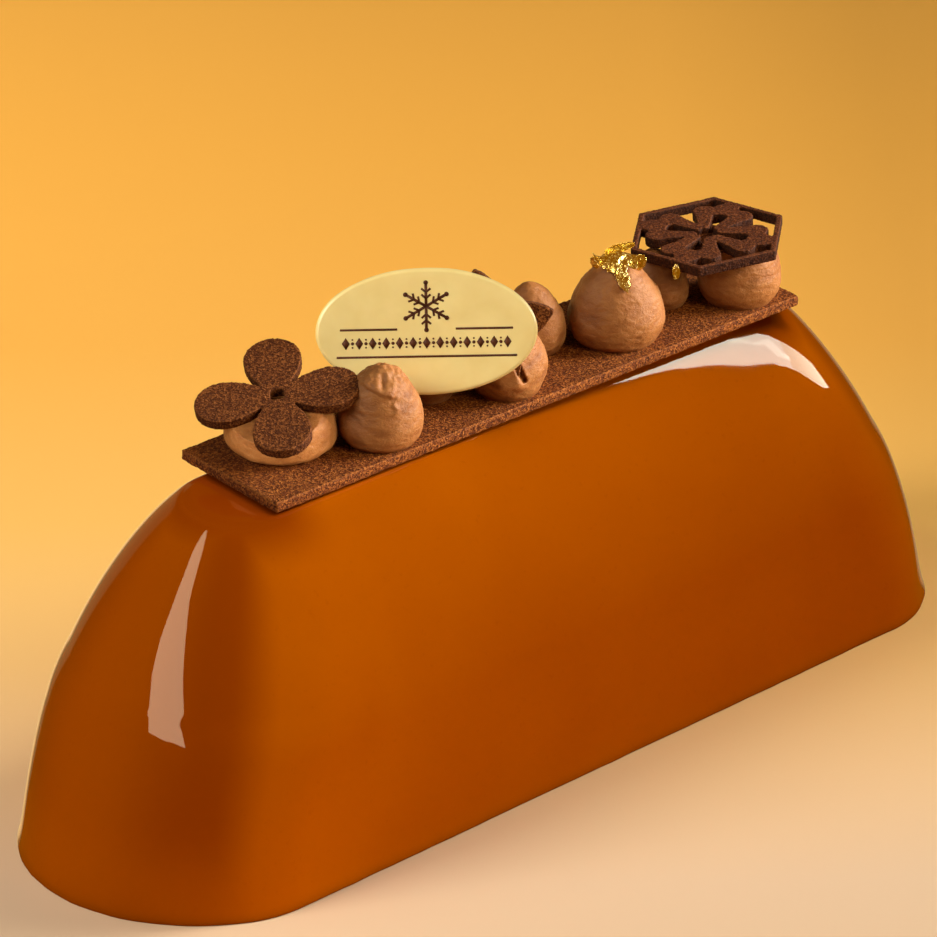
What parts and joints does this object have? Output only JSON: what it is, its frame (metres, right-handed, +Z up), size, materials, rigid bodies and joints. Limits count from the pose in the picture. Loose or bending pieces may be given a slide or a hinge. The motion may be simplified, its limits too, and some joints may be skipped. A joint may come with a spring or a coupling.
{
  "type": "yule log cake",
  "caption": "Long caramel glazed log cake with rounded ends, topped with a cocoa shortbread strip, piped dollops, cut biscuits, a pale oval plate and gold leaf.",
  "frame": {"origin": "centre of the flat base, on the surface the cake stands on", "axes": "+X along the log, +Y from its front to its back, +Z up"},
  "size_m": [0.25, 0.0782, 0.1106],
  "materials": {
    "caramel_glaze": "mirror-smooth caramel glaze",
    "cocoa_shortbread": "coarse sandy cocoa crumb",
    "cocoa_cream": "soft piped cream with fine wrinkles",
    "cocoa_biscuit": "fine dark cocoa crumb",
    "ivory_chocolate": "satin white chocolate",
    "gold_foil": "crumpled gold leaf"
  },
  "bodies": {
    "root": {"cake_body": "caramel_glaze", "cocoa_strip": "cocoa_shortbread", "dollop_1": "cocoa_cream", "dollop_2": "cocoa_cream", "dollop_3": "cocoa_cream", "dollop_4": "cocoa_cream", "dollop_5": "cocoa_cream", "dollop_6": "cocoa_cream", "dollop_7": "cocoa_cream", "dollop_8": "cocoa_cream", "flower_large": "cocoa_biscuit", "flower_small": "cocoa_biscuit", "hex_lattice": "cocoa_biscuit", "oval_plate": "ivory_chocolate", "gold_leaf": "gold_foil", "gold_fleck": "gold_foil"}
  },
  "joints": []
}
